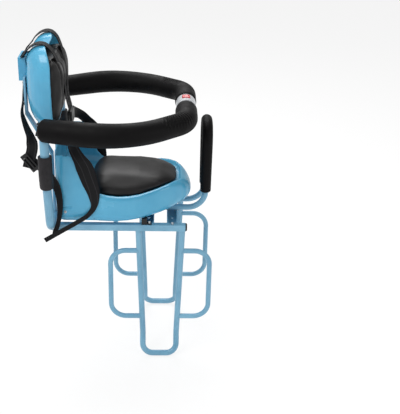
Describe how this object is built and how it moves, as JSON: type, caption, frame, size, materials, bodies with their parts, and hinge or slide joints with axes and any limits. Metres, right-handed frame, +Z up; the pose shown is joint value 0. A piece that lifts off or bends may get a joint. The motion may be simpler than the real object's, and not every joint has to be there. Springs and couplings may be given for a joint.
{
  "type": "rear child bike seat",
  "caption": "Rear child seat for a bicycle carrier: bolted base frame with footrests, moulded seat and backrest, grab handle and a padded guard ring that swings open.",
  "frame": {"origin": "middle of the four carrier bolt holes, in the plane of the rails' undersides", "axes": "+X points forwards on the bicycle, +Y to its left, +Z up"},
  "size_m": [0.44, 0.4424, 0.7683],
  "materials": {
    "frame_paint": "satin",
    "shell_plastic": "gloss",
    "cushion_leather": "satin",
    "ring_foam": "matte",
    "webbing": "matte",
    "black_plastic": "matte",
    "sleeve_rubber": "matte",
    "latch_grey": "satin",
    "button_red": "gloss",
    "blade_steel": "satin",
    "bolt_zinc": "satin"
  },
  "bodies": {
    "frame": {"rail_right": "frame_paint", "rail_left": "frame_paint", "cap_right": "black_plastic", "cap_left": "black_plastic", "cross_bar_front": "frame_paint", "cross_bar_rear": "frame_paint", "footrest_right": "frame_paint", "footrest_left": "frame_paint", "hoop_front_right": "frame_paint", "hoop_rear_right": "frame_paint", "hoop_front_left": "frame_paint", "hoop_rear_left": "frame_paint", "handle_tube": "frame_paint", "handle_grip": "ring_foam", "back_cross": "frame_paint", "post_right": "frame_paint", "post_left": "frame_paint", "stay_right": "frame_paint", "stay_left": "frame_paint", "sleeve_right": "sleeve_rubber", "sleeve_left": "sleeve_rubber", "spacer_right": "black_plastic", "spacer_left": "black_plastic", "rail_nuts": "bolt_zinc", "stay_bolts": "bolt_zinc", "seat_shell": "shell_plastic", "seat_cushion": "cushion_leather", "backrest_shell": "shell_plastic", "back_cushion": "cushion_leather", "strap_box": "shell_plastic", "shoulder_strap_right": "webbing", "shoulder_strap_left": "webbing", "adjuster_right": "black_plastic", "adjuster_left": "black_plastic", "buckle": "black_plastic", "crotch_strap": "webbing", "waist_strap_right": "webbing", "waist_strap_left": "webbing", "side_strap_right": "webbing", "side_strap_left": "webbing"},
    "right_arm": {"arm_tube_right": "frame_paint", "arm_pad_right": "ring_foam", "latch_tongue": "blade_steel"},
    "left_arm": {"arm_tube_left": "frame_paint", "arm_pad_left": "ring_foam", "latch_housing": "latch_grey"},
    "button": {"latch_button": "button_red"}
  },
  "joints": [
    {"name": "right_arm_hinge", "type": "hinge", "parent": "frame", "child": "right_arm", "pos_m": [-0.25, -0.157, 0.19], "axis": [0, 0, -1], "range_deg": [0, 100]},
    {"name": "left_arm_hinge", "type": "hinge", "parent": "frame", "child": "left_arm", "pos_m": [-0.25, 0.157, 0.19], "axis": [0, 0, 1], "range_deg": [0, 100]},
    {"name": "button_press", "type": "slide", "parent": "left_arm", "child": "button", "axis": [0, 0, -1], "range_m": [0, 0.004], "stiffness_N_per_m": 400}
  ]
}
